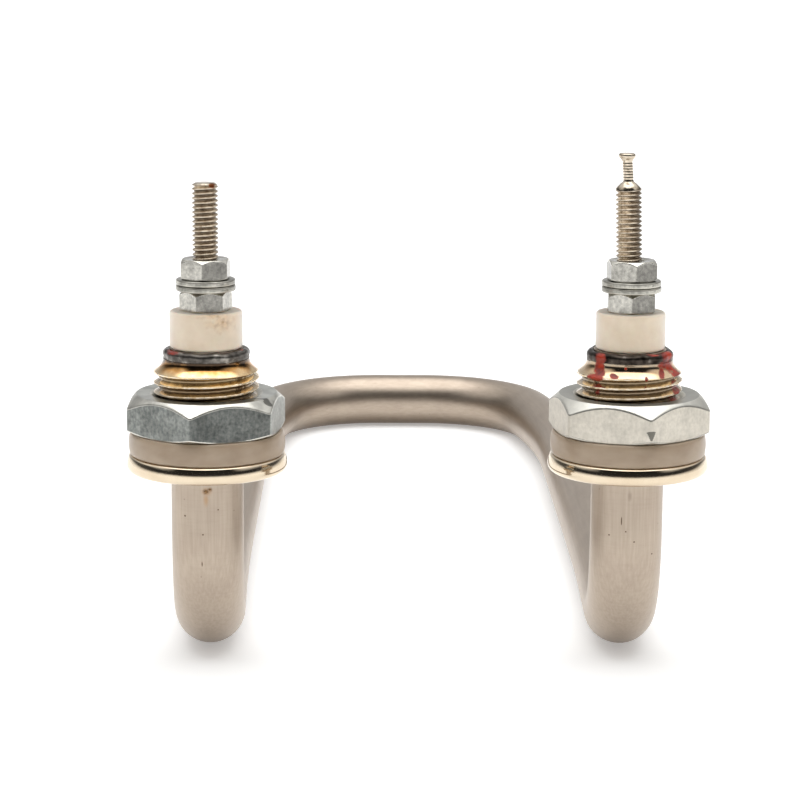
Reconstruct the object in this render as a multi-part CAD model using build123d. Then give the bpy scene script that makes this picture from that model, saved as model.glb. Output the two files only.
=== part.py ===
"""Hairpin immersion heating element with two threaded tank necks.

A stainless sheath tube packed with magnesia carries a resistance coil round one
loop. Each tube end stands up through a flanged, threaded bush, whose nut clamps a
tank wall against the gasket on the flange. A terminal stud leaves each end through
a ceramic bead and carries two nuts and two washers.

Frame: origin midway between the two necks, level with the sealing faces of their
flanges. +X from the left neck to the right neck, +Y back along the loop, +Z up the
studs. Millimetres throughout.
"""

import math
import os

from build123d import *

# ---- sheath tube and its loop ------------------------------------------------
sheath_od = 11.0
sheath_wall = 0.8
neck_spacing = 64.0  # between the two neck axes
loop_drop = 28.4  # flange sealing faces down to the centre line of the loop
loop_reach = 191.0  # neck axes back to the centre line of the far bend
front_bend_radius = 16.3
leg_splay = 1.94  # degrees that each leg leaves its front bend outward
splay_ease_radius = 1222.0  # long curve that brings each leg back parallel
shoulder_turn = 11.5  # degrees taken by the gentle start of the far bend
shoulder_radius = 228.5
end_bend_radius = 24.0

# ---- inside the sheath -------------------------------------------------------
pin_d = 3.5  # cold pin, in one piece with the terminal stud
pin_reach = 8.0  # sealing faces down to the lower ends of the pins
pin_end_chamfer = 0.3
coil_od = 4.9
coil_wire_d = 0.6
coil_lap = 5.0  # length of coil slipped over each pin end
packing_clearance = 0.02  # between compacted powder and what it touches

# ---- threaded bush -----------------------------------------------------------
flange_od = 24.4
flange_thickness = 2.7
neck_thread_d = 15.9  # over the crests of the M16 thread
neck_engaged_d = 15.03  # pitch diameter, drawn where the nut runs on the neck
neck_free_height = 3.45  # free thread above the nut
neck_taper_height = 1.65
neck_top_d = 12.6
bush_bore_clearance = 0.05

# ---- weld ring round the tube, on top of the bush ----------------------------
weld_width = 1.1  # beyond the tube, all round
weld_height = 1.8
weld_round = 0.8
weld_bore_clearance = 0.03

# ---- gasket and mounting nut -------------------------------------------------
gasket_od = 23.4
gasket_thickness = 3.3
gasket_bulge = 0.2
gasket_lip_clearance = 0.03  # between the squeezed-up rim and the nut's bevel
gasket_bore_clearance = 0.25
nut_flats = 22.0
nut_thickness = 6.0
nut_chamfer_d = 21.0
nut_chamfer_angle = 30.0
nut_countersink_d = 17.0
nut_thread_clearance = 0.04

# ---- ceramic bead and the seal under it --------------------------------------
left_bead_od = 11.0
right_bead_od = 10.5
bead_height = 5.65
bead_edge_round = 0.45
bead_spigot_length = 3.5
bead_spigot_clearance = 0.1
bead_bore_clearance = 0.1
seal_length = 3.0
sheath_end_recess = 0.05  # sheath end below the top of the weld ring

# ---- terminal stud -----------------------------------------------------------
stud_thread_d = 3.96  # over the crests of the M4 thread
stud_engaged_d = 3.545  # pitch diameter, drawn where the nuts run on the stud
stud_thread_lead = 1.5  # thread started this far down inside the ceramic bead
left_stud_free_length = 11.4
right_stud_free_length = 10.75
stud_tip_chamfer = 0.35
tail_cone_height = 1.0  # right stud only: the drawn end left on the wire
tail_neck_d = 1.65
tail_neck_length = 3.5
tail_head_d = 2.54
tail_head_height = 0.7
tail_head_chamfer = 0.15
tail_lean = 3.5  # degrees towards -X

# ---- terminal nuts and washers -----------------------------------------------
terminal_nut_flats = 7.0
terminal_nut_thickness = 3.0
terminal_nut_chamfer_d = 6.7
terminal_nut_countersink_d = 4.5
terminal_thread_clearance = 0.03
washer_od = 9.0
washer_id = 4.3
washer_thickness = 0.9
washer_edge = 0.12

# ---- corner of each nut, in degrees from -Y round towards +X -----------------
left_nut_turn = -11.5
right_nut_turn = 16.0
left_lower_turn = -18.0
left_upper_turn = -4.0
right_lower_turn = -3.0
right_upper_turn = 5.0

# ---- levels above the sealing faces, and radii, that follow --------------------
loop_level = -loop_drop
flange_bottom = -flange_thickness
nut_bottom = gasket_thickness
nut_top = nut_bottom + nut_thickness
free_thread_top = nut_top + neck_free_height
neck_top = free_thread_top + neck_taper_height
weld_top = neck_top + weld_height
sheath_top = weld_top - sheath_end_recess
pin_end = -pin_reach
coil_top = pin_end + coil_lap
bead_top = weld_top + bead_height
spigot_bottom = weld_top - bead_spigot_length
seal_bottom = spigot_bottom - seal_length
lower_nut_top = bead_top + terminal_nut_thickness
lower_washer_top = lower_nut_top + washer_thickness
upper_washer_top = lower_washer_top + washer_thickness
upper_nut_top = upper_washer_top + terminal_nut_thickness
sheath_r = sheath_od / 2
bore_r = sheath_r - sheath_wall
pin_r = pin_d / 2
coil_r = coil_od / 2
coil_bore_r = coil_r - coil_wire_d
packed_r = bore_r - packing_clearance


def half_loop(side, top):
    """Centre line of one half of the loop, from a neck at height top to mid loop."""
    splay = math.radians(leg_splay)
    turn = math.radians(shoulder_turn)
    neck_x = side * neck_spacing / 2
    out = Vector(side * math.sin(splay), math.cos(splay), 0)
    bend_top = Vector(neck_x, 0, loop_level + front_bend_radius)
    foot = Vector(neck_x, 0, loop_level) + out * front_bend_radius
    ease_out = splay_ease_radius * (1 - math.cos(splay))
    ease_run = splay_ease_radius * math.sin(splay)
    leg_start = foot + Vector(side * ease_out, ease_run, 0)
    shoulder_run = shoulder_radius * math.sin(turn)
    shoulder_in = shoulder_radius * (1 - math.cos(turn))
    bend_run = end_bend_radius * (1 - math.sin(turn))
    leg_end = Vector(leg_start.X, loop_reach - bend_run - shoulder_run, loop_level)
    bend_start = leg_end + Vector(-side * shoulder_in, shoulder_run, 0)
    heading = Vector(-side * math.sin(turn), math.cos(turn), 0)
    apex_x = bend_start.X - side * end_bend_radius * math.cos(turn)
    bend_end = Vector(apex_x, loop_reach, loop_level)
    return [
        Line((neck_x, 0, top), bend_top),
        TangentArc(bend_top, foot, tangent=(0, 0, -1)),
        TangentArc(foot, leg_start, tangent=out),
        Line(leg_start, leg_end),
        TangentArc(leg_end, bend_start, tangent=(0, 1, 0)),
        TangentArc(bend_start, bend_end, tangent=heading),
        Line(bend_end, (0, loop_reach, loop_level)),
    ]


def along_loop(outer_r, inner_r, top):
    """A bar, or a tube, that follows the loop between two ends at height top."""
    path = Wire(half_loop(-1, top) + half_loop(1, top))
    start = Plane(origin=path @ 0, z_dir=path % 0)
    section = start * Circle(outer_r)
    if inner_r:
        section -= start * Circle(inner_r)
    return sweep(section, path=path)


def turned(outline):
    """Solid of revolution about Z from (radius, height) corners in order."""
    face = make_face(Plane.XZ * Polyline(*outline, close=True))
    return revolve(face, axis=Axis.Z)


def ring(outer_r, inner_r, bottom, top):
    """Plain ring about Z."""
    return turned([(inner_r, bottom), (outer_r, bottom), (outer_r, top), (inner_r, top)])


def on_neck(side, shape):
    """Move a shape built about Z onto one neck's axis."""
    return Pos(side * neck_spacing / 2, 0, 0) * shape


def hex_nut(flats, thickness, chamfer_d, bore_r, countersink_d, turn, bottom):
    """Double-chamfered hexagon nut with a countersunk bore."""
    corner_r = flats / 2 / math.cos(math.radians(30))
    face_r = chamfer_d / 2
    bevel = (corner_r - face_r) * math.tan(math.radians(nut_chamfer_angle))
    sink_r = countersink_d / 2
    sink = sink_r - bore_r
    top = bottom + thickness
    hexagon = Rot(0, 0, turn - 90) * RegularPolygon(corner_r, 6)
    prism = Pos(0, 0, bottom) * extrude(hexagon, thickness)
    envelope = turned([
        (bore_r, bottom + sink),
        (sink_r, bottom),
        (face_r, bottom),
        (corner_r, bottom + bevel),
        (corner_r, top - bevel),
        (face_r, top),
        (sink_r, top),
        (bore_r, top - sink),
    ])
    return prism & envelope


def sheath_tube():
    """Stainless tube bent into the loop."""
    return along_loop(sheath_r, bore_r, sheath_top)


def resistance_coil():
    """Space taken by the turns of the coil, slipped over both pin ends."""
    return along_loop(coil_r, coil_bore_r, coil_top)


def magnesia_filling():
    """Compacted powder: a sleeve round coil and pins, and a core inside the coil."""
    filling_top = seal_bottom - packing_clearance
    sleeve = along_loop(packed_r, coil_r + packing_clearance, filling_top)
    collar_bottom = coil_top + packing_clearance
    collar = ring(packed_r, pin_r + packing_clearance, collar_bottom, filling_top)
    sleeve += on_neck(-1, collar)
    sleeve += on_neck(1, collar)
    core_top = pin_end - packing_clearance
    core = along_loop(coil_bore_r - packing_clearance, 0, core_top)
    return Compound(children=[sleeve.solid(), core.solid()])


def threaded_bush(side):
    """Turned bush: round-edged flange, threaded neck and a taper at its top."""
    bore = sheath_r + bush_bore_clearance
    crest = neck_thread_d / 2
    engaged = neck_engaged_d / 2
    rim = flange_thickness / 2
    rim_x = flange_od / 2 - rim
    outline = Polyline(
        (rim_x, 0),
        (crest, 0),
        (crest, nut_bottom),
        (engaged, nut_bottom),
        (engaged, nut_top),
        (crest, nut_top),
        (crest, free_thread_top),
        (neck_top_d / 2, neck_top),
        (bore, neck_top),
        (bore, flange_bottom),
        (rim_x, flange_bottom),
    )
    edge = ThreePointArc((rim_x, flange_bottom), (flange_od / 2, -rim), (rim_x, 0))
    return on_neck(side, revolve(make_face(Plane.XZ * (outline + edge)), axis=Axis.Z))


def weld_ring(side):
    """Rounded bead of weld that joins the tube to the top of the bush."""
    outer = sheath_r + weld_width
    blank = ring(outer, sheath_r + weld_bore_clearance, neck_top, weld_top)
    outer_edges = blank.edges().filter_by(GeomType.CIRCLE).group_by(SortBy.RADIUS)[-1]
    return on_neck(side, fillet(outer_edges, weld_round))


def gasket(side):
    """Elastomer washer, squeezed so that its rim bulges and rises round the nut's bevel."""
    bore = neck_thread_d / 2 + gasket_bore_clearance
    rim = gasket_od / 2
    bevel_start = nut_chamfer_d / 2
    lip = (rim - bevel_start) * math.tan(math.radians(nut_chamfer_angle))
    rim_top = nut_bottom + lip - gasket_lip_clearance
    sides = Polyline(
        (rim, rim_top),
        (bevel_start, nut_bottom),
        (bore, nut_bottom),
        (bore, 0),
        (rim, 0),
    )
    bulge = ThreePointArc((rim, 0), (rim + gasket_bulge, rim_top / 2), (rim, rim_top))
    return on_neck(side, revolve(make_face(Plane.XZ * (sides + bulge)), axis=Axis.Z))


def mounting_nut(side, turn):
    """Nut that clamps the tank wall and the gasket against the flange."""
    bore = neck_engaged_d / 2 + nut_thread_clearance
    return on_neck(side, hex_nut(
        nut_flats, nut_thickness, nut_chamfer_d, bore, nut_countersink_d, turn, nut_bottom,
    ))


def end_seal(side):
    """Ring of sealing compound in the tube's mouth, under the ceramic bead."""
    seal = ring(packed_r, pin_r + packing_clearance, seal_bottom, spigot_bottom)
    return on_neck(side, seal)


def ceramic_bead(side, bead_od):
    """Insulating bead whose spigot sits in the end of the tube."""
    bore = stud_engaged_d / 2 + bead_bore_clearance
    spigot = bore_r - bead_spigot_clearance
    head = ring(bead_od / 2, bore, weld_top, bead_top)
    outer_edges = head.edges().filter_by(GeomType.CIRCLE).group_by(SortBy.RADIUS)[-1]
    head = fillet(outer_edges, bead_edge_round)
    return on_neck(side, head + ring(spigot, bore, spigot_bottom, weld_top))


def stud_body(tip_outline):
    """Cold pin and threaded stud in one, finished by the outline of its tip."""
    engaged = stud_engaged_d / 2
    thread_start = bead_top - stud_thread_lead
    return turned([
        (0, pin_end),
        (pin_r - pin_end_chamfer, pin_end),
        (pin_r, pin_end + pin_end_chamfer),
        (pin_r, thread_start),
        (engaged, thread_start),
        (engaged, upper_nut_top),
        (stud_thread_d / 2, upper_nut_top),
    ] + tip_outline)


def left_terminal_stud():
    """Stud with a plain chamfered tip."""
    crest = stud_thread_d / 2
    top = upper_nut_top + left_stud_free_length
    tip = [(crest, top - stud_tip_chamfer), (crest - stud_tip_chamfer, top), (0, top)]
    return on_neck(-1, stud_body(tip))


def right_terminal_stud():
    """Stud that ends in a cone, with the thin tail of its wire left on."""
    crest = stud_thread_d / 2
    cone_bottom = upper_nut_top + right_stud_free_length
    cone_top = cone_bottom + tail_cone_height
    neck_r = tail_neck_d / 2
    body = stud_body([(crest, cone_bottom), (neck_r, cone_top), (0, cone_top)])
    neck = Cylinder(neck_r, tail_cone_height + tail_neck_length)
    neck = Pos(0, 0, (tail_neck_length - tail_cone_height) / 2) * neck
    head = Cylinder(tail_head_d / 2, tail_head_height)
    head = chamfer(head.edges().filter_by(GeomType.CIRCLE), tail_head_chamfer)
    head = Pos(0, 0, tail_neck_length + tail_head_height / 2) * head
    tail = Pos(0, 0, cone_top) * Rot(0, -tail_lean, 0) * (neck + head)
    return on_neck(1, body + tail)


def terminal_nut(side, turn, bottom):
    """Small nut on the stud."""
    bore = stud_engaged_d / 2 + terminal_thread_clearance
    return on_neck(side, hex_nut(
        terminal_nut_flats,
        terminal_nut_thickness,
        terminal_nut_chamfer_d,
        bore,
        terminal_nut_countersink_d,
        turn,
        bottom,
    ))


def washer(side, bottom):
    """Plain washer with broken edges."""
    top = bottom + washer_thickness
    outer = washer_od / 2
    inner = washer_id / 2
    blank = turned([
        (inner, bottom),
        (outer - washer_edge, bottom),
        (outer, bottom + washer_edge),
        (outer, top - washer_edge),
        (outer - washer_edge, top),
        (inner, top),
    ])
    return on_neck(side, blank)


def build_nodes():
    """Every node of the element, by name."""
    return {
        "sheath_tube": sheath_tube(),
        "resistance_coil": resistance_coil(),
        "magnesia_filling": magnesia_filling(),
        "left_threaded_bush": threaded_bush(-1),
        "right_threaded_bush": threaded_bush(1),
        "left_weld_ring": weld_ring(-1),
        "right_weld_ring": weld_ring(1),
        "left_gasket": gasket(-1),
        "right_gasket": gasket(1),
        "left_mounting_nut": mounting_nut(-1, left_nut_turn),
        "right_mounting_nut": mounting_nut(1, right_nut_turn),
        "left_end_seal": end_seal(-1),
        "right_end_seal": end_seal(1),
        "left_ceramic_bead": ceramic_bead(-1, left_bead_od),
        "right_ceramic_bead": ceramic_bead(1, right_bead_od),
        "left_terminal_stud": left_terminal_stud(),
        "right_terminal_stud": right_terminal_stud(),
        "left_lower_terminal_nut": terminal_nut(-1, left_lower_turn, bead_top),
        "right_lower_terminal_nut": terminal_nut(1, right_lower_turn, bead_top),
        "left_lower_washer": washer(-1, lower_nut_top),
        "right_lower_washer": washer(1, lower_nut_top),
        "left_upper_washer": washer(-1, lower_washer_top),
        "right_upper_washer": washer(1, lower_washer_top),
        "left_upper_terminal_nut": terminal_nut(-1, left_upper_turn, upper_washer_top),
        "right_upper_terminal_nut": terminal_nut(1, right_upper_turn, upper_washer_top),
    }


os.makedirs("parts", exist_ok=True)
for node_name, node_shape in build_nodes().items():
    export_step(node_shape, f"parts/{node_name}.step")
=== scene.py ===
"""Looks of a hairpin immersion heating element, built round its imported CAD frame.

Every length is in millimetres until a mesh or a shader takes it, and MM turns it to metres.
Angles round a neck start at the front, -Y, and grow towards +X.
"""

import math

import bpy
import numpy as np
from mathutils import Matrix, Vector


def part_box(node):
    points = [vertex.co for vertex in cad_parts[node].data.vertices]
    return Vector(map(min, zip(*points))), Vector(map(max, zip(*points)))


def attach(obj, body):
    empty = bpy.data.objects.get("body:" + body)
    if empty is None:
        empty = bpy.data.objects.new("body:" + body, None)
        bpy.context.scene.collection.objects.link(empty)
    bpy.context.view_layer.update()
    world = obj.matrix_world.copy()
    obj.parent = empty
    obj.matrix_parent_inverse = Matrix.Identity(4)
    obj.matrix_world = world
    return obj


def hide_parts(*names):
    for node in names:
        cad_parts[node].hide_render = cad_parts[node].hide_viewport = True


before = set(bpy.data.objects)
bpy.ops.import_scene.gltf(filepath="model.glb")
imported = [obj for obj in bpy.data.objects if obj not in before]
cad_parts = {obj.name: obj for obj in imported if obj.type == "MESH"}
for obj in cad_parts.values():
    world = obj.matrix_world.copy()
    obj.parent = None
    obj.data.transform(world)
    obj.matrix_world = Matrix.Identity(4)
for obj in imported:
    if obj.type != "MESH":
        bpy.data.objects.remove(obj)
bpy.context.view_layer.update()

MM = 0.001
SIDES = ("left", "right")


# ---- sizes read from the frame ---------------------------------------------------
def low(node):
    """Lowest corner of a CAD node, in millimetres."""
    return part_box(node)[0] / MM


def high(node):
    """Highest corner of a CAD node, in millimetres."""
    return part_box(node)[1] / MM


neck_x = {s: (low(f"{s}_threaded_bush").x + high(f"{s}_threaded_bush").x) / 2 for s in SIDES}
flange_r = high("right_threaded_bush").x - neck_x["right"]
flange_bottom = low("left_threaded_bush").z
neck_top = high("left_threaded_bush").z
nut_bottom = low("left_mounting_nut").z
nut_top = high("left_mounting_nut").z
weld_r = high("right_weld_ring").x - neck_x["right"]
weld_top = high("left_weld_ring").z
bead_top = high("left_ceramic_bead").z
washer_r = high("right_lower_washer").x - neck_x["right"]
gasket_r = high("right_gasket").x - neck_x["right"]
gasket_top = nut_bottom
terminal_top = high("left_upper_terminal_nut").z
stud_bottom = low("left_terminal_stud").z
ground = low("sheath_tube").z
right_stud_free = 10.75
stud_top = {"left": high("left_terminal_stud").z, "right": terminal_top + right_stud_free}
tail_top = high("right_terminal_stud").z

# ---- sizes that the frame doesn't give -----------------------------------------------
tube_r = 5.5
neck_r = 7.95
neck_pitch = 1.5
neck_thread_depth = 0.85
neck_thread_top = neck_top - 1.65
neck_thread_bottom = 7.5
flare_top_r = 6.5
flare_foot_r = neck_r - 0.15
flare_sweep = 2.3
weld_bottom = neck_top + 0.3
gasket_bulge = 0.2
gasket_lip = 0.2
nut_top_chamfer = 42
nut_bottom_chamfer = 24
big_nut = {"flats": 22.0, "corner_r": 12.575, "chamfer_r": 10.6, "bore_r": 7.6, "sink_r": 8.5}
small_nut = {"flats": 7.0, "corner_r": 4.02, "chamfer_r": 3.42, "bore_r": 1.9, "sink_r": 2.2}
washer_bore_r = 2.15
# Rounds of the flange's rim: from and to which lean of its surface, and the radius of each.
rim_rounds = [(-90, 2.5, 1.2), (2.5, 25, 3.4), (25, 90, 0.6)]
stud_r = 1.98
stud_pitch = 0.7
stud_thread_depth = 0.4
stud_cone_height = 1.0
tail_r = 0.76
# The right stud leans towards -X above these heights, by this many degrees more each time.
stud_leans = [(bead_top, 3.2), (terminal_top + 1.0, -1.6), (stud_top["right"] + stud_cone_height, 2.6)]

# How far each nut is turned: the angle of one of its corners, in degrees.
big_nut_turn = {"left": -8.0, "right": 9.5}
small_nut_turn = {
    "lower": {"left": -18.0, "right": -3.0},
    "upper": {"left": -4.0, "right": 5.0},
}

# Seeds of the unevenness of each ring.
bush_seed = {"left": 3, "right": 4}
weld_seed = {"left": 5, "right": 6}
gasket_seed = {"left": 31, "right": 32}
washer_seed = {"lower": 21, "upper": 22}

# ---- the room's light, by direction; bounds between its bands are heights in degrees ------
ceiling_light = 2.5
ceiling_start, ceiling_full = 50, 62
skirting_light = 1.1
skirting_end, wall_start = 2, 9
dado_top, wall_full = 20, 34
table_glow = 0.32
# Wall tones by heading: back at 0 and 1, left at 0.25, front at 0.5, right at 0.75.
wall_tones = [
    (0.0, "#bbbbbb"), (0.1, "#d8d8d8"), (0.17, "#ffffff"), (0.29, "#ffffff"), (0.37, "#242424"),
    (0.62, "#242424"), (0.68, "#ffffff"), (0.88, "#f4f4f4"), (0.95, "#bbbbbb"), (1.0, "#bbbbbb"),
]

# Tones of the dado, the lowest part of the walls, by the same headings: only its back is pale.
dado_tones = [
    (0.0, "#d2d2d2"), (0.06, "#c4c4c4"), (0.14, "#5a5a5a"), (0.3, "#2a2a2a"), (0.7, "#2a2a2a"),
    (0.86, "#5a5a5a"), (0.94, "#c4c4c4"), (1.0, "#d2d2d2"),
]


# ---- shader helpers --------------------------------------------------------------------
def linear(hex_colour):
    """An sRGB hex colour as linear RGBA."""
    values = [int(hex_colour[i:i + 2], 16) / 255 for i in (1, 3, 5)]
    return [v / 12.92 if v <= 0.04045 else ((v + 0.055) / 1.055) ** 2.4 for v in values] + [1.0]


def add(tree, kind, inputs=None, stops=(), **settings):
    """A shader node with its settings and colour stops.

    An input is named or counted, and is a number, a hex colour, a socket or another node.
    """
    node = tree.nodes.new("ShaderNode" + kind)
    for name, value in settings.items():
        setattr(node, name, value)
    for i, (place, colour) in enumerate(stops):
        stop = node.color_ramp.elements[i] if i < 2 else node.color_ramp.elements.new(place)
        stop.position, stop.color = place, linear(colour)
    for key, value in (inputs or {}).items():
        shown = [s for s in node.inputs if s.enabled]
        socket = shown[key] if isinstance(key, int) else next(s for s in shown if s.name == key)
        if isinstance(value, bpy.types.Node):
            value = next(s for s in value.outputs if s.enabled)
        if isinstance(value, bpy.types.NodeSocket):
            tree.links.new(value, socket)
        elif isinstance(value, str):
            socket.default_value = linear(value)
        else:
            socket.default_value = value
    return node


def start_finish(name, metallic, roughness):
    """A new material with its shader's plain settings: the material, its tree, shader and place in mm."""
    material = bpy.data.materials.new(name)
    material.use_nodes = True
    tree = material.node_tree
    shader = tree.nodes["Principled BSDF"]
    shader.inputs["Metallic"].default_value = metallic
    shader.inputs["Roughness"].default_value = roughness
    spot = add(tree, "TexCoord").outputs["Object"]
    place = add(tree, "VectorMath", {0: spot, 1: (1 / MM,) * 3}, operation="MULTIPLY")
    return material, tree, shader, place


def mottling(tree, place, size, stops, detail=4.0, stretch=(1, 1, 1)):
    """Colour that wanders between the stops in patches of size mm, longer where stretch is over 1."""
    squeeze = [1 / (size * s) for s in stretch]
    scaled = add(tree, "VectorMath", {0: place, 1: squeeze}, operation="MULTIPLY")
    clouds = add(tree, "TexNoise", {"Vector": scaled, "Scale": 1.0, "Detail": detail})
    return add(tree, "ValToRGB", {"Fac": clouds}, stops=stops)


def tooth(tree, shader, place, size, depth):
    """Fine relief on a surface: bumps size mm across and depth mm high."""
    scaled = add(tree, "VectorMath", {0: place, 1: (1 / size,) * 3}, operation="MULTIPLY")
    grain = add(tree, "TexNoise", {"Vector": scaled, "Scale": 1.0, "Detail": 3.0})
    relief = add(tree, "Bump", {"Height": grain, "Distance": depth * MM, "Strength": 1.0})
    tree.links.new(relief.outputs["Normal"], shader.inputs["Normal"])


def patch(tree, place, at, reach, ragged=0.5, soft=0.35):
    """1 in a ragged patch round the point at, reach mm to each side, and 0 outside it."""
    away = add(tree, "VectorMath", {0: place, 1: at}, operation="SUBTRACT")
    spread = add(tree, "VectorMath", {0: away, 1: reach}, operation="DIVIDE")
    distance = add(tree, "VectorMath", {0: spread}, operation="LENGTH")
    wander = add(tree, "TexNoise", {"Vector": place, "Scale": 1.1, "Detail": 3.0})
    edge = add(tree, "Math", {0: wander, 1: ragged, 2: distance}, operation="MULTIPLY_ADD")
    noise_middle = 0.5
    start = 1.0 + ragged * noise_middle
    return add(tree, "MapRange", {"Value": edge, "From Min": start, "From Max": start - soft},
               interpolation_type="SMOOTHSTEP")


def patches(tree, place, spots, ragged=0.5, soft=0.35):
    """Several patches as one: spots are (point, reach) pairs."""
    whole = None
    for at, reach in spots:
        one = patch(tree, place, at, reach, ragged, soft)
        whole = one if whole is None else add(tree, "Math", {0: whole, 1: one}, operation="MAXIMUM")
    return whole


def round_neck(tree, place):
    """Distance from the nearer neck's axis, height, and 1 on the left neck to 0 on the right one."""
    midway = 10.0
    parts = add(tree, "SeparateXYZ", {0: place}).outputs
    outwards = add(tree, "Math", {0: parts["X"]}, operation="ABSOLUTE")
    across = add(tree, "Math", {0: outwards, 1: neck_x["right"]}, operation="SUBTRACT")
    flat = add(tree, "CombineXYZ", {"X": across, "Y": parts["Y"]})
    radius = add(tree, "VectorMath", {0: flat}, operation="LENGTH")
    left = add(tree, "MapRange", {"Value": parts["X"], "From Min": midway, "From Max": -midway})
    return radius, parts["Z"], left


# ---- what varnish, heat and wear left, and a painted reflection: where each is, and its reach to each side ---
tube_rust = [((-31.85, -5.49, -4.95), (0.75, 1.5, 0.6)), ((-31.3, -5.45, -4.6), (0.5, 1.5, 0.5))]
tube_rust_stain = [((-31.8, -5.49, -5.0), (1.1, 1.5, 1.0)), ((-31.9, -5.49, -6.2), (0.6, 1.5, 1.5))]
tube_smudge = ((31.9, -5.5, -5.5), (0.5, 1.5, 1.1))
tube_pits = [
    ((-35.14, -4.5, -8.9), (0.16, 1.0, 0.16)),
    ((-32.4, -5.5, -11.6), (0.17, 1.0, 0.14)),
    ((-30.1, -5.2, -7.8), (0.13, 1.0, 0.13)),
    ((-32.6, -5.5, -16.3), (0.12, 1.0, 0.6)),
    ((-34.84, -4.7, -24.8), (0.18, 1.0, 0.15)),
    ((-32.4, -5.5, -25.4), (0.16, 1.0, 0.13)),
    ((-26.8, -1.7, -22.9), (0.5, 0.5, 0.2)),
    ((32.7, -5.5, -12.6), (0.16, 1.0, 0.13)),
    ((31.25, -5.5, -22.6), (0.17, 1.0, 0.15)),
    ((35.6, -4.1, -14.8), (0.15, 1.0, 0.15)),
    ((31.4, -5.5, -11.0), (0.13, 1.0, 0.13)),
    ((28.97, -4.6, -11.7), (0.14, 1.0, 0.14)),
    ((30.73, -5.4, -9.4), (0.1, 1.0, 0.75)),
]
bead_scorch = [((-29.2, -4.8, 20.7), (3.4, 4.0, 1.9)), ((-30.4, -5.0, 21.7), (4.6, 4.0, 0.9))]
stud_rust = ((-30.6, -1.6, 40.8), (0.9, 1.2, 0.6))
# Painted reflection: dark patches on the left nut, at the right of its front near the top.
left_nut_knocks = [((-23.6, -5.4, 8.9), (1.5, 0.8, 0.8)), ((-22.6, -6.0, 8.7), (1.2, 0.7, 0.6))]
# A wedge pressed into the right nut's corner, narrower row by row downwards.
wedge_rows, wedge_row_height = 5, 0.24
right_nut_wedge = [((34.15, -12.4, 5.62 - wedge_row_height * i), (0.8 - 0.14 * i, 1.5, 0.26))
                   for i in range(wedge_rows)]
varnish_runs = [
    ((27.0, -5.0, 15.6), (0.95, 2.5, 1.7)),
    ((26.9, -5.2, 13.8), (1.05, 2.5, 1.6)),
    ((26.3, -5.4, 12.6), (1.7, 2.5, 0.75)),
]
varnish_drops = [
    ((28.95, -6.9, 13.1), (0.75, 2.0, 0.45)),
    ((30.72, -6.7, 14.2), (0.25, 2.0, 0.22)),
    ((33.75, -7.3, 12.7), (0.28, 2.0, 0.45)),
    ((26.6, -6.0, 10.3), (0.6, 2.0, 0.4)),
    ((26.5, -6.1, 8.9), (0.5, 2.0, 0.3)),
    ((36.2, -6.0, 13.5), (0.6, 2.0, 1.2)),
    ((36.9, -5.4, 14.4), (1.5, 2.4, 0.7)),
    ((38.2, -4.4, 14.2), (1.3, 2.6, 1.3)),
    ((37.9, -4.8, 15.1), (1.0, 2.6, 1.5)),
    ((37.6, -5.0, 14.3), (1.3, 2.4, 1.0)),
    ((38.9, -4.0, 13.2), (1.3, 2.6, 1.1)),
    ((38.7, -3.4, 10.4), (0.9, 2.4, 0.7)),
    ((38.2, -3.6, 9.0), (0.8, 2.4, 0.4)),
]
varnish_rim = [
    ((35.6, -5.2, 16.4), (2.0, 2.6, 0.6)),
    ((37.4, -4.2, 15.9), (1.4, 3.0, 1.3)),
    ((-37.2, -4.0, 16.3), (1.7, 2.8, 0.8)),
    ((-26.6, -3.6, 16.4), (1.0, 2.6, 0.4)),
]


def varnished(tree, shader, place, colour, metallic, roughness):
    """Brushed-on red varnish over a metal: opaque brick red in light and dark blotches, softly glossy."""
    film = patches(tree, place, varnish_runs + varnish_drops + varnish_rim, ragged=0.8)
    red = mottling(tree, place, size=1.2, stops=[(0.35, "#701605"), (0.6, "#ad300e")])
    over = add(tree, "Mix", {"Factor": film, "A": colour, "B": red}, data_type="RGBA")
    bare = add(tree, "Mix", {"Factor": film, "A": metallic, "B": 0.0})
    gloss = add(tree, "Mix", {"Factor": film, "A": roughness, "B": 0.35})
    for socket, value in (("Base Color", over), ("Metallic", bare), ("Roughness", gloss)):
        tree.links.new(next(s for s in value.outputs if s.enabled), shader.inputs[socket])


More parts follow.
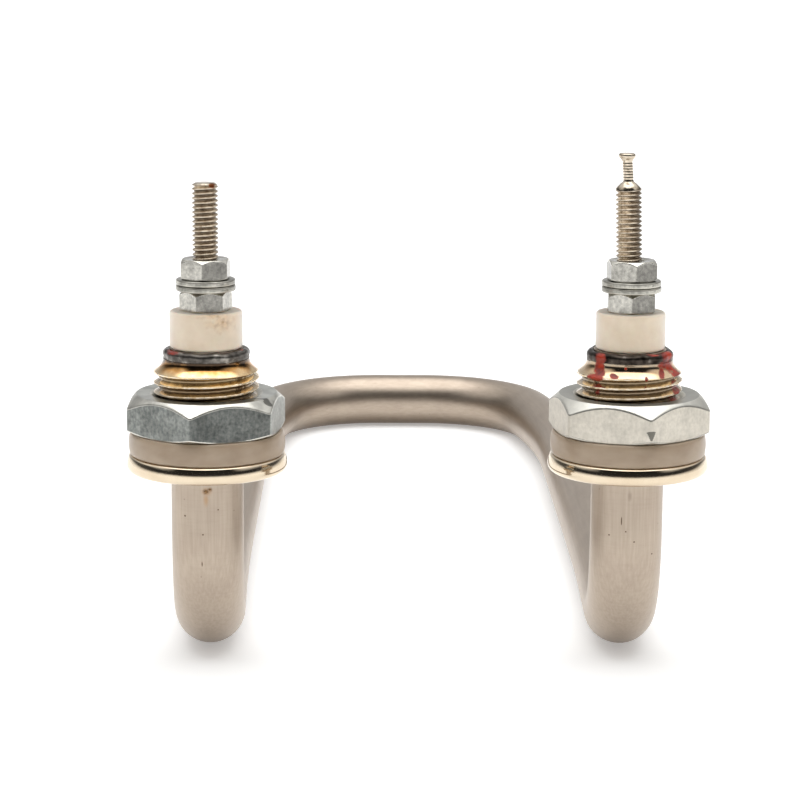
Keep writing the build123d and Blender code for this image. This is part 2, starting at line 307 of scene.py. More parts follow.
# ---- materials -----------------------------------------------------------------------------
def drawn_stainless():
    """Cold-drawn and pickled stainless tube: warm satin grey, with small pits, a rust spot and rubs."""
    # Drawing lines are finer than this: they are drawn as coarse as they need to show.
    draw_line = 0.35
    lines = [(0.3, "#a19384"), (0.7, "#c3b5a6")]
    # The lines run up the legs in front of bend_start and backwards beyond bend_end.
    bend_start, bend_end = 8.0, 20.0
    # Heights over which painted shade darkens the tube towards its underside.
    underside_start, underside_full = -30.5, -34.0
    material, tree, shader, place = start_finish("drawn_stainless", metallic=1.0, roughness=0.38)
    parts = add(tree, "SeparateXYZ", {0: place}).outputs
    cloud = mottling(tree, place, size=5.0, stops=[(0.3, "#ad9e8f"), (0.7, "#b7a999")])
    drawn_up = mottling(tree, place, draw_line, lines, stretch=(1, 1, 22))
    drawn_back = mottling(tree, place, draw_line, lines, stretch=(4, 40, 1))
    behind = add(tree, "MapRange", {"Value": parts["Y"], "From Min": bend_start, "From Max": bend_end})
    drawn = add(tree, "Mix", {"Factor": behind, "A": drawn_up, "B": drawn_back}, data_type="RGBA")
    rubs = mottling(tree, place, size=0.3, stops=[(0.35, "#a19384"), (0.5, "#b3a596")], stretch=(12, 12, 1))
    along = add(tree, "Mix", {"Factor": 0.3, "A": drawn, "B": rubs}, data_type="RGBA")
    tone = add(tree, "Mix", {"Factor": 0.45, "A": cloud, "B": along}, data_type="RGBA")
    grains = add(tree, "TexVoronoi", {"Vector": place, "Scale": 0.42})
    speckle = add(tree, "MapRange", {"Value": grains, "From Min": 0.07, "From Max": 0.035, "To Max": 0.4})
    tone = add(tree, "Mix", {"Factor": speckle, "A": tone, "B": "#6d5f52"}, data_type="RGBA")
    stain = patches(tree, place, tube_rust_stain, soft=1.0)
    faint = add(tree, "Math", {0: stain, 1: 0.5}, operation="MULTIPLY")
    tone = add(tree, "Mix", {"Factor": faint, "A": tone, "B": "#b08450"}, data_type="RGBA")
    rust = patches(tree, place, tube_rust, ragged=0.9, soft=1.0)
    crust = mottling(tree, place, size=0.28, stops=[(0.4, "#2e1a0f"), (0.6, "#94724f")])
    tone = add(tree, "Mix", {"Factor": rust, "A": tone, "B": crust}, data_type="RGBA")
    smudge = patch(tree, place, *tube_smudge, soft=0.9)
    dull = add(tree, "Math", {0: smudge, 1: 0.5}, operation="MULTIPLY")
    tone = add(tree, "Mix", {"Factor": dull, "A": tone, "B": "#8a7c6f"}, data_type="RGBA")
    pits = patches(tree, place, tube_pits)
    tone = add(tree, "Mix", {"Factor": pits, "A": tone, "B": "#5d4b3c"}, data_type="RGBA")
    # Painted shade: the tube gets darker and browner towards its underside.
    underside = add(tree, "MapRange", {"Value": parts["Z"], "From Min": underside_start,
                                       "From Max": underside_full, "To Max": 0.6})
    tone = add(tree, "Mix", {"Factor": underside, "A": tone, "B": "#6b5746"}, data_type="RGBA")
    tree.links.new(tone.outputs[2], shader.inputs["Base Color"])
    tooth(tree, shader, place, size=0.3, depth=0.006)
    return material


def nickel_plated_brass():
    """Turned brass under bright nickel: a champagne mirror, tinted gold to brown by the welding heat."""
    # Heights between which the tint fades in and between which the heat goes from gold to scorched.
    tint_start, tint_full = 6.0, 10.5
    heat_start, heat_full = 9.5, 15.6
    # Radii of the thread's roots, darkened with painted shade, and of its crests, paler with a painted
    # highlight.
    root_r, clean_r = 7.1, 7.75
    dull_r, bright_r = 7.8, 7.93
    thread_edge = 0.3
    finish = {"metallic": 1.0, "roughness": 0.12}
    material, tree, shader, place = start_finish("nickel_plated_brass", **finish)
    radius, height, left = round_neck(tree, place)
    plate = mottling(tree, place, size=5.0, stops=[(0.3, "#d6c4aa"), (0.7, "#e2d3bb")])
    wander = add(tree, "TexNoise", {"Vector": place, "Scale": 0.5, "Detail": 3.0})
    warm = add(tree, "Math", {0: wander, 1: 2.2, 2: height}, operation="MULTIPLY_ADD")
    heat = add(tree, "MapRange", {"Value": warm, "From Min": heat_start, "From Max": heat_full})
    tint = add(tree, "ValToRGB", {"Fac": heat}, stops=[
        (0.0, "#d8c5a8"), (0.4, "#ceb48e"), (0.66, "#fbe2b4"), (0.86, "#c9924f"), (1.0, "#3a281c"),
    ])
    # The left neck was heated more than the right one.
    strength = add(tree, "MapRange", {"Value": left, "To Min": 0.45, "To Max": 0.95})
    above = add(tree, "MapRange", {"Value": height, "From Min": tint_start, "From Max": tint_full})
    heated = add(tree, "Math", {0: strength, 1: above}, operation="MULTIPLY")
    colour = add(tree, "Mix", {"Factor": heated, "A": plate, "B": tint}, data_type="RGBA")
    # Painted shade: the thread roots are darker, below the thread's top.
    root = add(tree, "MapRange", {"Value": radius, "From Min": clean_r, "From Max": root_r})
    thread = add(tree, "MapRange", {"Value": height, "From Min": neck_thread_top + thread_edge,
                                    "From Max": neck_thread_top - thread_edge, "To Max": 0.75})
    grime = add(tree, "Math", {0: root, 1: thread}, operation="MULTIPLY")
    colour = add(tree, "Mix", {"Factor": grime, "A": colour, "B": "#3f2d1e"}, data_type="RGBA")
    # Painted highlight: broken pale streaks along the thread crests.
    crest = add(tree, "MapRange", {"Value": radius, "From Min": dull_r, "From Max": bright_r})
    rubbed = add(tree, "TexNoise", {"Vector": place, "Scale": 1.3, "Detail": 3.0})
    broken = add(tree, "MapRange", {"Value": rubbed, "From Min": 0.4, "From Max": 0.6, "To Max": 0.8})
    bright = add(tree, "Math", {0: crest, 1: broken}, operation="MULTIPLY")
    worn = add(tree, "Math", {0: bright, 1: above}, operation="MULTIPLY")
    colour = add(tree, "Mix", {"Factor": worn, "A": colour, "B": "#f2e8d8"}, data_type="RGBA")
    varnished(tree, shader, place, colour, **finish)
    tooth(tree, shader, place, size=0.7, depth=0.006)
    return material


def weld_scale():
    """Weld metal left as it cooled: lumpy, near-black oxide, with pale spots painted in as glints."""
    finish = {"metallic": 1.0, "roughness": 0.34}
    material, tree, shader, place = start_finish("weld_scale", **finish)
    left = round_neck(tree, place)[2]
    # Painted glints: the palest stops of both mottlings.
    scale = mottling(tree, place, size=1.3, stops=[(0.3, "#3a3633"), (0.55, "#66625d"), (0.75, "#a8a39b")],
                     detail=6.0)
    dull = mottling(tree, place, size=1.1, stops=[(0.35, "#211c18"), (0.65, "#4d4640"), (0.8, "#8e8881")],
                    detail=6.0)
    colour = add(tree, "Mix", {"Factor": left, "A": dull, "B": scale}, data_type="RGBA")
    varnished(tree, shader, place, colour, **finish)
    tooth(tree, shader, place, size=0.8, depth=0.06)
    return material


def zinc_plated_steel(name, roughness, faces, coats, cloud, edge, turned_tone, top, marks=()):
    """Zinc on forged steel: crystalline faces with brush lines, turned chamfers, and painted light and
    shade.

    faces are the dark and the pale of its crystals. The stops after them paint light and shade on each
    face, by how far it looks to -X or +X. cloud dulls it all in patches. edge, turned_tone and top are
    the edge, the chamfer and the flat top, told apart by how far the surface looks up or down: the edge
    is a painted highlight line, dark as painted shade on the right nut, and the top's darker tone is painted
    shade.
    """
    # Crystals and brush lines are finer than this: they are drawn as coarse as they need to show.
    crystal, brush_line = 0.5, 0.25
    face_lean, edge_lean, chamfer_lean, chamfer_end, top_lean = 0.04, 0.12, 0.5, 0.9, 0.97
    material, tree, shader, place = start_finish(name, metallic=1.0, roughness=roughness)
    dark, pale = faces
    crystals = mottling(tree, place, crystal, [(0.32, dark), (0.68, pale)], detail=6.0)
    brushed = mottling(tree, place, brush_line, [(0.3, dark), (0.7, pale)], stretch=(1, 1, 7))
    face = add(tree, "Mix", {"Factor": 0.3, "A": crystals, "B": brushed}, data_type="RGBA")
    shadow = mottling(tree, place, size=2.2, stops=[(0.38, cloud), (0.58, "#ffffff")], detail=6.0)
    lean = add(tree, "SeparateXYZ", {0: add(tree, "NewGeometry").outputs["Normal"]}).outputs
    # Painted light and shade: each face is paler or darker by how far it looks to -X or +X.
    sideways = add(tree, "MapRange", {"Value": lean["X"], "From Min": -1.0})
    coat = add(tree, "ValToRGB", {"Fac": sideways}, stops=coats)
    face = add(tree, "Mix", {"Factor": 1.0, "A": face, "B": coat}, data_type="RGBA", blend_type="MULTIPLY")
    # Painted light and shade: a highlight line along the edges, a shade line on the right nut, and a darker
    # top.
    upward = add(tree, "Math", {0: lean["Z"]}, operation="ABSOLUTE")
    turned_part = add(tree, "ValToRGB", {"Fac": upward}, stops=[
        (edge_lean, edge), (chamfer_lean, turned_tone), (chamfer_end, turned_tone), (top_lean, top),
    ])
    beyond = add(tree, "MapRange", {"Value": upward, "From Min": face_lean, "From Max": edge_lean})
    clean = add(tree, "Mix", {"Factor": beyond, "A": face, "B": turned_part}, data_type="RGBA")
    colour = add(tree, "Mix", {"Factor": 1.0, "A": clean, "B": shadow}, data_type="RGBA",
                 blend_type="MULTIPLY")
    # Dark patches: a dent pressed into the right nut, and a painted dark reflection on the left nut.
    if marks:
        struck = patches(tree, place, marks, ragged=0.25, soft=0.2)
        struck = add(tree, "Math", {0: struck, 1: 0.8}, operation="MULTIPLY")
        colour = add(tree, "Mix", {"Factor": struck, "A": colour, "B": "#4c4b46"}, data_type="RGBA")
    tree.links.new(colour.outputs[2], shader.inputs["Base Color"])
    tooth(tree, shader, place, size=0.28, depth=0.02)
    return material


def moulded_silicone():
    """Moulded silicone rubber: milky grey-beige that lets a little light through at its edges."""
    light_depth = 1.5
    material, tree, shader, place = start_finish("moulded_silicone", metallic=0.0, roughness=0.32)
    tone = mottling(tree, place, size=4.0, stops=[(0.3, "#a28e78"), (0.7, "#b09d87")], stretch=(1, 1, 0.5))
    tree.links.new(tone.outputs[0], shader.inputs["Base Color"])
    shader.inputs["Subsurface Weight"].default_value = 0.35
    shader.inputs["Subsurface Radius"].default_value = (1.0, 0.85, 0.7)
    shader.inputs["Subsurface Scale"].default_value = light_depth * MM
    tooth(tree, shader, place, size=1.6, depth=0.02)
    return material


def fired_steatite():
    """Pressed and fired steatite: chalky warm cream, with a tan scorch mark under the left terminal."""
    light_depth = 0.8
    material, tree, shader, place = start_finish("fired_steatite", metallic=0.0, roughness=0.5)
    tone = mottling(tree, place, size=2.5, stops=[(0.3, "#e3d0b6"), (0.7, "#eedec6")], detail=6.0)
    scorch = patches(tree, place, bead_scorch, ragged=1.2, soft=1.2)
    faint = add(tree, "Math", {0: scorch, 1: 0.75}, operation="MULTIPLY")
    burnt = mottling(tree, place, size=0.7, stops=[(0.36, "#b07f49"), (0.58, "#e2c096")], detail=5.0)
    tone = add(tree, "Mix", {"Factor": faint, "A": tone, "B": burnt}, data_type="RGBA")
    tree.links.new(tone.outputs[2], shader.inputs["Base Color"])
    shader.inputs["Sheen Weight"].default_value = 1.0
    shader.inputs["Sheen Roughness"].default_value = 0.5
    shader.inputs["Subsurface Weight"].default_value = 0.15
    shader.inputs["Subsurface Scale"].default_value = light_depth * MM
    tooth(tree, shader, place, size=0.4, depth=0.015)
    return material


def nickel_plated_stud():
    """Rolled steel stud under nickel: warm silver crests over roots darkened with painted shade, with rust
    on the left tip.
    """
    root_r, clean_r = 1.62, 1.9
    dirty_below, clean_above = 40.2, 40.4
    material, tree, shader, place = start_finish("nickel_plated_stud", metallic=1.0, roughness=0.18)
    radius, height = round_neck(tree, place)[:2]
    plate = mottling(tree, place, size=0.8, stops=[(0.3, "#a89883"), (0.7, "#e2d6c4")], detail=5.0)
    # Painted shade: the thread roots are darker low on the stud.
    root = add(tree, "MapRange", {"Value": radius, "From Min": clean_r, "From Max": root_r, "To Max": 0.6})
    threaded = add(tree, "MapRange", {"Value": height, "From Min": clean_above, "From Max": dirty_below})
    grime = add(tree, "Math", {0: root, 1: threaded}, operation="MULTIPLY")
    colour = add(tree, "Mix", {"Factor": grime, "A": plate, "B": "#4a3929"}, data_type="RGBA")
    rust = patch(tree, place, *stud_rust, ragged=0.8)
    colour = add(tree, "Mix", {"Factor": rust, "A": colour, "B": "#8a5530"}, data_type="RGBA")
    tree.links.new(colour.outputs[2], shader.inputs["Base Color"])
    tooth(tree, shader, place, size=0.35, depth=0.012)
    return material


def resistance_wire():
    """Nickel-chrome wire, oxidised dark in service: dull and nearly black."""
    material, tree, shader, place = start_finish("resistance_wire", metallic=1.0, roughness=0.5)
    tone = mottling(tree, place, size=0.4, stops=[(0.3, "#4a4642"), (0.7, "#6b655e")])
    tree.links.new(tone.outputs[0], shader.inputs["Base Color"])
    tooth(tree, shader, place, size=0.1, depth=0.004)
    return material


def magnesia_powder():
    """Compacted magnesia: matt chalk white, grainy where it is cut."""
    material, tree, shader, place = start_finish("magnesia_powder", metallic=0.0, roughness=0.9)
    tone = mottling(tree, place, size=0.6, stops=[(0.3, "#dedbd3"), (0.7, "#eeece6")], detail=6.0)
    tree.links.new(tone.outputs[0], shader.inputs["Base Color"])
    tooth(tree, shader, place, size=0.15, depth=0.02)
    return material


def sealing_compound():
    """Poured silicone resin: dull amber with a soft gloss."""
    material, tree, shader, place = start_finish("sealing_compound", metallic=0.0, roughness=0.4)
    tone = mottling(tree, place, size=1.5, stops=[(0.3, "#9c7f5a"), (0.7, "#b4976e")])
    tree.links.new(tone.outputs[0], shader.inputs["Base Color"])
    tooth(tree, shader, place, size=0.8, depth=0.02)
    return material


def opal_acrylic():
    """Opal acrylic of a light table: matt white, lit softly from below so that shadows stay faint."""
    material, tree, shader, place = start_finish("opal_acrylic", metallic=0.0, roughness=0.9)
    tone = mottling(tree, place, size=60.0, stops=[(0.2, "#f4f4f3"), (0.8, "#fafafa")])
    tree.links.new(tone.outputs[0], shader.inputs["Base Color"])
    shader.inputs["Emission Color"].default_value = linear("#ffffff")
    shader.inputs["Emission Strength"].default_value = table_glow
    return material


# ---- turned pieces ---------------------------------------------------------------------------
def turned(name, side, rows, angles, shape, ring=True):
    """Mesh turned about a neck's axis from (radius, height) rows; shape bends each row by angle."""
    count, around = len(rows), len(angles)
    verts = []
    for radius, height in rows:
        radii, heights = shape(radius, height)
        across = neck_x[side] + radii * np.sin(angles)
        verts.append(np.stack([across, -radii * np.cos(angles), heights + 0 * angles], -1))
    faces = []
    for i in range(count if ring else count - 1):
        here, above = i * around, (i + 1) % count * around
        for j in range(around):
            k = (j + 1) % around
            faces.append((here + j, here + k, above + k, above + j))
    if not ring:
        faces.append(tuple(reversed(range(around))))
        faces.append(tuple(range((count - 1) * around, count * around)))
    mesh = bpy.data.meshes.new(name)
    mesh.from_pydata((np.concatenate(verts) * MM).tolist(), [], faces)
    mesh.shade_smooth()
    piece = bpy.data.objects.new(name, mesh)
    bpy.context.scene.collection.objects.link(piece)
    return piece


def evenly(segments):
    """Angles evenly round a circle."""
    return np.arange(segments) * 2 * math.pi / segments


def closer_at_corners(segments, turn):
    """Angles round a hexagon that is turned by turn degrees, closer together at its corners."""
    pull = 0.85
    sixths = evenly(segments) * 3 / math.pi
    part = sixths % 1.0
    pulled = np.floor(sixths) + part - pull * np.sin(2 * math.pi * part) / (2 * math.pi)
    return pulled * math.pi / 3 + math.radians(turn)


def smallest(values, softness):
    """Least of several radii, with the edges between them rounded by about softness."""
    stack = np.stack(np.broadcast_arrays(*values))
    least = stack.min(0)
    return least - softness * np.log(np.exp((least - stack) / softness).sum(0))


def rolled_thread(turns, crest, root):
    """0 on a thread's crest and 1 in its root; crest and root are their shares of half a turn."""
    away = np.abs((turns % 1.0) - 0.5) * 2
    return np.clip((away - crest) / (1 - root - crest), 0, 1)


def lumps(angles, seed, sizes):
    """Unevenness round a ring: waves of each (count, height) with seeded starts."""
    starts = np.random.default_rng(seed)
    return sum(h * np.sin(n * angles + starts.uniform(0, 2 * math.pi)) for n, h in sizes)


def arc(centre, r, start, end, steps):
    """Points of an arc in (radius, height); angles in degrees."""
    turns = np.radians(np.linspace(start, end, steps))
    return [(centre[0] + r * math.cos(a), centre[1] + r * math.sin(a)) for a in turns]


def flange_rim():
    """Rim of the flange from its underside up: full below, flatter where it leans back, tight at the top."""
    step = 2.5
    points, at = [], np.zeros(2)
    for start, end, round_r in rim_rounds:
        for angle in np.radians(np.arange(start, end, step) + step / 2):
            points.append(at)
            at = at + round_r * math.radians(step) * np.array([-math.sin(angle), math.cos(angle)])
    points = np.array(points + [at])
    points *= -flange_bottom / at[1]
    return [(r, z) for r, z in points + (flange_r - points[:, 0].max(), flange_bottom)]


def bush(side):
    """Screwed bush: round-edged flange, cut thread with burred crests, and a flare up to the weld."""
    segments, row_height, flare_rows = 224, 0.055, 26
    bore_r, hidden_r, flat = tube_r + 0.05, neck_r - 0.6, 0.5
    run_out, run_in = 0.5, 0.1
    angles = evenly(segments)
    rim = flange_rim()
    flange = [(bore_r, flange_bottom), (rim[0][0] - flat, flange_bottom)] + rim
    flange += [(rim[-1][0] - flat, 0.0), (hidden_r, 0.0)]
    # Inside the gasket and the nut the bush is plain, because they hide it.
    hidden = [(hidden_r, z) for z in (0.5, 4.0, 7.4)]
    threaded = [(neck_r, z) for z in np.arange(neck_thread_bottom, neck_thread_top, row_height)]
    rise = weld_bottom - neck_thread_top
    flare = [(flare_top_r + (flare_foot_r - flare_top_r) * (1 - t) ** flare_sweep,
              neck_thread_top + rise * t) for t in np.linspace(0, 1, flare_rows)]
    burrs = lumps(angles, bush_seed[side], [(7, 0.02), (17, 0.02), (31, 0.02), (53, 0.015)])

    def shape(radius, height):
        if not neck_thread_bottom <= height < neck_thread_top + run_out:
            return radius + 0 * angles, height
        turns = height / neck_pitch - angles / (2 * math.pi) - 0.03
        fade = np.clip((neck_thread_top + run_in - height) / run_out, 0, 1)
        depth = neck_thread_depth * rolled_thread(turns, crest=0.12, root=0.2) * fade
        return radius - depth + burrs * fade, height
    rows = flange + hidden + threaded + flare + [(bore_r, weld_bottom)]
    return turned(f"{side}_bush", side, rows, angles, shape)


def gasket(side):
    """Silicone gasket, squeezed so that its edge bulges, with a faint lip where the nut bites in."""
    segments, bulge_rows, round_edge = 160, 13, 0.3
    angles = evenly(segments)
    half = gasket_top / 2
    bore_r, edge_r = neck_r + 0.1, gasket_r - gasket_bulge
    lip_top, under_nut = gasket_top + gasket_lip, gasket_top - 0.04
    rows = [(bore_r, 0.01), (edge_r - 0.35, 0.01), (edge_r - 0.1, 0.08)]
    rows += [(edge_r + gasket_bulge * (1 - ((z - half) / half) ** 2), z)
             for z in np.linspace(round_edge, gasket_top - round_edge, bulge_rows)]
    rows += [(edge_r - 0.02, lip_top - 0.25), (edge_r - 0.12, lip_top - 0.06), (edge_r - 0.3, lip_top)]
    rows += [(11.1, lip_top - 0.02), (big_nut["chamfer_r"], under_nut), (bore_r, under_nut)]
    swell = lumps(angles, gasket_seed[side], [(2, 0.03), (5, 0.02), (11, 0.01)])
    # Keeps the highest of the swelling inside the gasket's own radius.
    swell_height = 0.06

    def shape(radius, height):
        return radius + (swell - swell_height) * (radius > edge_r - 0.4), height
    return turned(f"{side}_washer_seal", side, rows, angles, shape)


def weld(side):
    """Weld bead run round the sheath on top of the bush: flat-topped and lumpy."""
    segments, shoulder_rows, shoulder_r, shoulder_in = 200, 20, 0.75, 0.7
    angles = evenly(segments)
    bulge = lumps(angles, weld_seed[side], [(2, 0.05), (5, 0.05), (9, 0.04), (14, 0.02), (23, 0.02)])
    sag = lumps(angles, weld_seed[side] + 2, [(3, 0.05), (7, 0.05), (12, 0.04), (19, 0.02)])
    bottom, top = weld_bottom - 0.12, weld_top - 0.05
    inner, outer = tube_r + 0.02, weld_r - 0.1
    rows = [(inner, bottom), (flare_top_r - 0.05, bottom), (outer - 0.1, bottom + 0.2)]
    rows += [(outer - shoulder_in + shoulder_in * math.cos(a), top - shoulder_r + shoulder_r * math.sin(a))
             for a in np.linspace(-0.5, 1.4, shoulder_rows)]
    rows += [(outer - 0.85, top - 0.02), (inner, top - 0.2)]

    def shape(radius, height):
        outwards = np.clip((radius - tube_r) / (outer - tube_r), 0, 1)
        upwards = np.clip((height - bottom) / (top - bottom), 0, 1)
        return radius + bulge * outwards, height + sag * upwards * 0.8 - 0.05
    return turned(f"{side}_weld", side, rows, angles, shape)


def hex_nut(name, side, bottom, top, turn, size, segments, rounding):
    """Hexagon nut with a turned chamfer at both faces, rounded edges and a countersunk bore."""
    end_rows, middle_rows, bottom_chamfer_out = 24, 8, 0.1
    angles = closer_at_corners(segments, turn)
    flat_r = size["flats"] / 2
    corner_r = flat_r / math.cos(math.pi / 6)
    from_corner = (angles - math.radians(turn)) % (math.pi / 3) - math.pi / 6
    flats = flat_r / np.cos(from_corner)
    top_slope, bottom_slope = (math.tan(math.radians(a)) for a in (nut_top_chamfer, nut_bottom_chamfer))
    deepest = (corner_r - size["chamfer_r"]) * top_slope * 1.15
    ends = np.linspace(0, deepest, end_rows)
    middle = np.linspace(deepest, top - bottom - deepest, middle_rows)[1:-1]
    heights = np.concatenate([bottom + ends, bottom + middle, (top - ends)[::-1]])
    bore_r, sink_r = size["bore_r"], size["sink_r"]
    sink = (sink_r - bore_r) / 2
    face_r = size["chamfer_r"] - 2 * rounding
    rows = [(face_r, bottom)] + [(corner_r, z) for z in heights] + [(face_r, top)]
    rows += [(sink_r + rounding, top), (sink_r, top - rounding / 2), (bore_r, top - sink)]
    rows += [(bore_r, bottom + sink), (sink_r, bottom)]

    def shape(radius, height):
        if radius < corner_r:
            return radius + 0 * angles, height
        top_cone = size["chamfer_r"] + (top - height) / top_slope
        bottom_cone = size["chamfer_r"] + bottom_chamfer_out + (height - bottom) / bottom_slope
        return smallest([flats, size["corner_r"], top_cone, bottom_cone], rounding), height
    return turned(name, side, rows, angles, shape)


def washer(name, side, bottom, top, seed):
    """Stamped washer: both edges rolled over by the punch, slightly out of flat."""
    segments, roll, clearance = 120, 0.24, 0.02
    angles = evenly(segments)
    edge_r = washer_r - clearance
    low_face, high_face = bottom + clearance, top - clearance
    rows = [(washer_bore_r, low_face), (edge_r - roll, low_face)]
    rows += arc((edge_r - roll, bottom + roll + clearance), roll, -75, 0, 5)
    rows += arc((edge_r - roll, top - roll - clearance), roll, 0, 90, 6)
    rows += [(washer_bore_r, high_face)]
    warp = lumps(angles, seed, [(2, 0.02), (3, 0.012)])
    still_r = 3

    def shape(radius, height):
        return radius + warp * (radius > still_r), height + warp * (radius - washer_bore_r) / 4
    return turned(name, side, rows, angles, shape)


def stud(side):
    """Terminal stud with a rolled thread; the right one keeps its drawn tip, neck and small head."""
    segments, row_height = 72, 0.034
    shank_r, centre_r = 1.7, 0.3
    run_out, run_out_from = 0.3, 0.2
    ridge, ridge_pitch, ridge_rows = 0.03, 0.42, 0.065
    angles = evenly(segments)
    top = stud_top[side]
    start, end = terminal_top - 0.6, top - 0.25
    rows = [(shank_r, stud_bottom), (shank_r, start - 0.05)]
    rows += [(stud_r, z) for z in np.arange(start, end, row_height)]
    if side == "left":
        rows += [(1.72, top - 0.2), (1.5, top - 0.03), (1.3, top), (centre_r, top)]
    else:
        cone_top = top + stud_cone_height
        rows += [(1.95, top - 0.22), (1.95, top), (1.2, cone_top - 0.25), (0.86, cone_top)]
        rows += [(tail_r + ridge * math.cos(2 * math.pi * z / ridge_pitch), z)
                 for z in np.arange(cone_top + 0.15, tail_top - 1.1, ridge_rows)]
        rows += [(0.9, tail_top - 0.95), (1.15, tail_top - 0.68), (1.27, tail_top - 0.45)]
        rows += [(1.24, tail_top - 0.15), (1.05, tail_top), (centre_r, tail_top)]

    def shape(radius, height):
        if not (start <= height < end and radius == stud_r):
            return radius + 0 * angles, height
        turns = height / stud_pitch - angles / (2 * math.pi)
        fade = min(1.0, (top - run_out_from - height) / run_out)
        depth = stud_thread_depth * (0.5 + 0.5 * np.cos(2 * math.pi * turns)) ** 1.15
        return radius - depth * fade, height
    piece = turned(f"{side}_stud", side, rows, angles, shape, ring=False)
    if side == "right":
        for vert in piece.data.vertices:
            vert.co.x -= sum(max(0.0, vert.co.z - height * MM) * math.tan(math.radians(lean))
                             for height, lean in stud_leans)
    return piece


# ---- dressing -----------------------------------------------------------------------------------
def dress(piece, material):
    """Give a piece one material."""
    piece.data.materials.clear()
    piece.data.materials.append(material)


def stand_in(piece, node, material):
    """Put a detailed piece in the place of its CAD node."""
    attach(piece, "root")
    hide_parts(node)
    dress(piece, material)


finishes = {
    "sheath_tube": drawn_stainless(),
    "resistance_coil": resistance_wire(),
    "magnesia": magnesia_powder(),
    "end_seal": sealing_compound(),
    "ceramic_bead": fired_steatite(),
}
silicone = moulded_silicone()
nickel = nickel_plated_brass()
scale = weld_scale()
stud_metal = nickel_plated_stud()

# Painted light and shade on the zinc's faces, from those that look to -X at 0 to those that look to +X at 1.
even_coat = [(0.0, "#ffffff"), (1.0, "#ffffff")]
left_nut_coat = [(0.0, "#cccccc"), (0.3, "#cccccc"), (0.5, "#a4a4a4"), (0.8, "#a4a4a4"), (0.97, "#ffffff")]
small_nut_coat = [
    (0.0, "#d8d8d8"), (0.13, "#ffffff"), (0.3, "#f0f0f0"),
    (0.5, "#c4c4c4"), (0.85, "#b4b4b4"), (0.97, "#f8f8f8"),
]
big_zinc = {
    "left": zinc_plated_steel(
        "dull_zinc_plated_steel", roughness=0.3, faces=("#7e8482", "#c2c4be"), coats=left_nut_coat,
        cloud="#dcdcdc", edge="#dedcd3", turned_tone="#d6d4cb", top="#c0c1ba", marks=left_nut_knocks),
    "right": zinc_plated_steel(
        "satin_zinc_plated_steel", roughness=0.4, faces=("#c2bcb0", "#d8d2c6"), coats=even_coat,
        cloud="#f2f2f2", edge="#77756f", turned_tone="#dedcd3", top="#b0afa8", marks=right_nut_wedge),
}
small_zinc = zinc_plated_steel(
    "bright_zinc_plated_steel", roughness=0.24, faces=("#9d9b95", "#d6d3ca"), coats=small_nut_coat,
    cloud="#e6e6e6", edge="#f4f1e8", turned_tone="#d6d3c9", top="#b3b1a9")
washer_zinc = zinc_plated_steel(
    "tumbled_zinc_plated_steel", roughness=0.3, faces=("#84837b", "#cecbc1"), coats=even_coat,
    cloud="#cccccc", edge="#cac7bd", turned_tone="#bab7ad", top="#a3a198")

for node_name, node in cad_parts.items():
    for part, finish in finishes.items():
        if part in node_name:
            dress(node, finish)

for side in SIDES:
    stand_in(bush(side), f"{side}_threaded_bush", nickel)
    stand_in(weld(side), f"{side}_weld_ring", scale)
    stand_in(gasket(side), f"{side}_gasket", silicone)
    stand_in(stud(side), f"{side}_terminal_stud", stud_metal)
    nut = hex_nut(f"{side}_big_nut", side, nut_bottom, nut_top, big_nut_turn[side], big_nut,
                  segments=288, rounding=0.07)
    stand_in(nut, f"{side}_mounting_nut", big_zinc[side])
    for level, turns in small_nut_turn.items():
        nut_node, washer_node = f"{side}_{level}_terminal_nut", f"{side}_{level}_washer"
        nut = hex_nut(f"{side}_{level}_nut", side, low(nut_node).z, high(nut_node).z, turns[side], small_nut,
                      segments=144, rounding=0.04)
        stand_in(nut, nut_node, small_zinc)
        plate = washer(f"{side}_{level}_plate", side, low(washer_node).z, high(washer_node).z,
                       washer_seed[level])
        stand_in(plate, washer_node, washer_zinc)


# ---- floor, light and camera ----------------------------------------------------------------------
def floor():
    """Table top under the loop."""
    half = 6000 * MM
    mesh = bpy.data.meshes.new("floor")
    corners = [(-half, -half, 0), (half, -half, 0), (half, half, 0), (-half, half, 0)]
    mesh.from_pydata(corners, [], [(0, 1, 2, 3)])
    piece = bpy.data.objects.new("floor", mesh)
    bpy.context.scene.collection.objects.link(piece)
    piece.location = (0, 0, ground * MM)
    dress(piece, opal_acrylic())


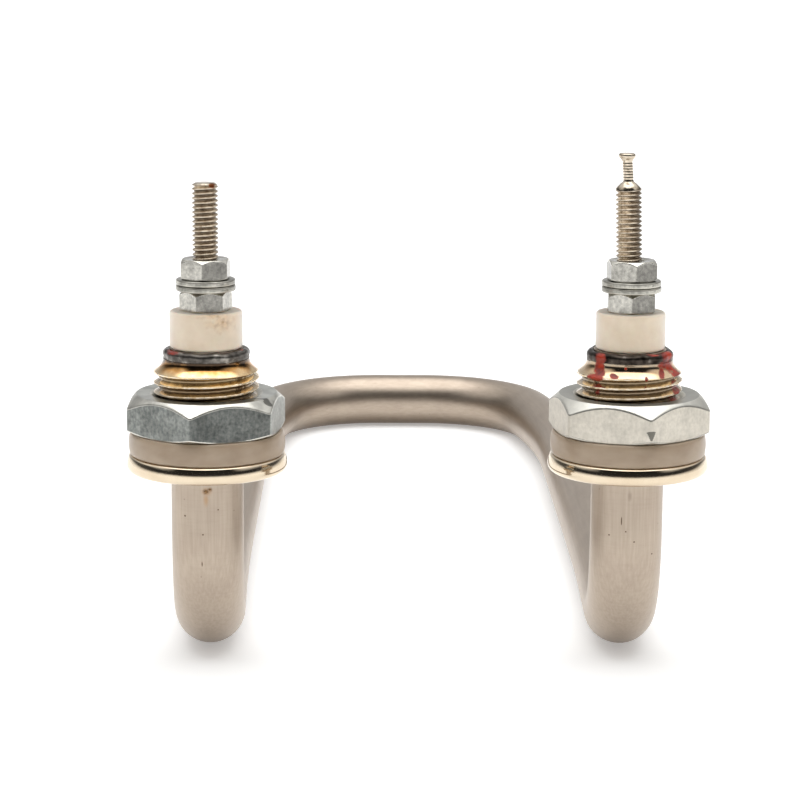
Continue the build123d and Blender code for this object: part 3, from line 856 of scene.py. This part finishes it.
def room():
    """White studio: a bright ceiling, pale walls over a dark dado, and a dark side in front."""
    studio = bpy.data.worlds.new("studio")
    bpy.context.scene.world = studio
    studio.use_nodes = True
    tree = studio.node_tree
    heading = add(tree, "TexCoord").outputs["Generated"]
    parts = add(tree, "SeparateXYZ", {0: heading}).outputs
    forwards = add(tree, "Math", {0: parts["Y"], 1: -1.0}, operation="MULTIPLY")
    around = add(tree, "Math", {0: parts["X"], 1: forwards}, operation="ARCTAN2")
    turn = add(tree, "MapRange", {"Value": around, "From Min": -math.pi, "From Max": math.pi})
    light = add(tree, "ValToRGB", {"Fac": turn}, stops=dado_tones).outputs["Color"]
    walls = add(tree, "ValToRGB", {"Fac": turn}, stops=wall_tones)
    skirting = (skirting_light,) * 3 + (1,)
    ceiling = (ceiling_light,) * 3 + (1,)
    # Each band is laid over the last, from one height to another.
    bands = [
        (walls, dado_top, wall_full, "LINEAR"),
        (skirting, wall_start, skirting_end, "LINEAR"),
        (ceiling, ceiling_start, ceiling_full, "SMOOTHSTEP"),
    ]
    for tone, start, full, fade in bands:
        start_z, full_z = (math.sin(math.radians(a)) for a in (start, full))
        share = add(tree, "MapRange", {"Value": parts["Z"], "From Min": start_z, "From Max": full_z},
                    interpolation_type=fade)
        light = add(tree, "Mix", {"Factor": share, "A": light, "B": tone}, data_type="RGBA").outputs[2]
    tree.links.new(light, tree.nodes["Background"].inputs["Color"])


camera_place = (-8.02, -376.65, 80.62)
camera_yaw, camera_pitch, camera_roll = 0.804, 10.894, 0.3155
focal_pixels, picture_pixels = 2531.3, 800
sensor_width = 36
nearest, farthest = 10, 50000


def camera():
    """Camera at eye level in front of the necks, looking slightly down."""
    yaw, pitch, roll = (math.radians(a) for a in (camera_yaw, camera_pitch, camera_roll))
    ahead = Vector((math.sin(yaw) * math.cos(pitch), math.cos(yaw) * math.cos(pitch), -math.sin(pitch)))
    level = Vector((math.cos(yaw), -math.sin(yaw), 0))
    upright = level.cross(ahead)
    right = math.cos(roll) * level + math.sin(roll) * upright
    up = right.cross(ahead)
    data = bpy.data.cameras.new("camera")
    data.lens = focal_pixels / picture_pixels * sensor_width
    data.sensor_width = sensor_width
    data.clip_start, data.clip_end = nearest * MM, farthest * MM
    eye = bpy.data.objects.new("camera", data)
    bpy.context.scene.collection.objects.link(eye)
    turn = Matrix((right, up, -ahead)).transposed()
    eye.matrix_world = Matrix.Translation(Vector(camera_place) * MM) @ turn.to_4x4()
    bpy.context.scene.camera = eye


floor()
room()
camera()
bpy.context.scene.view_settings.view_transform = "Standard"
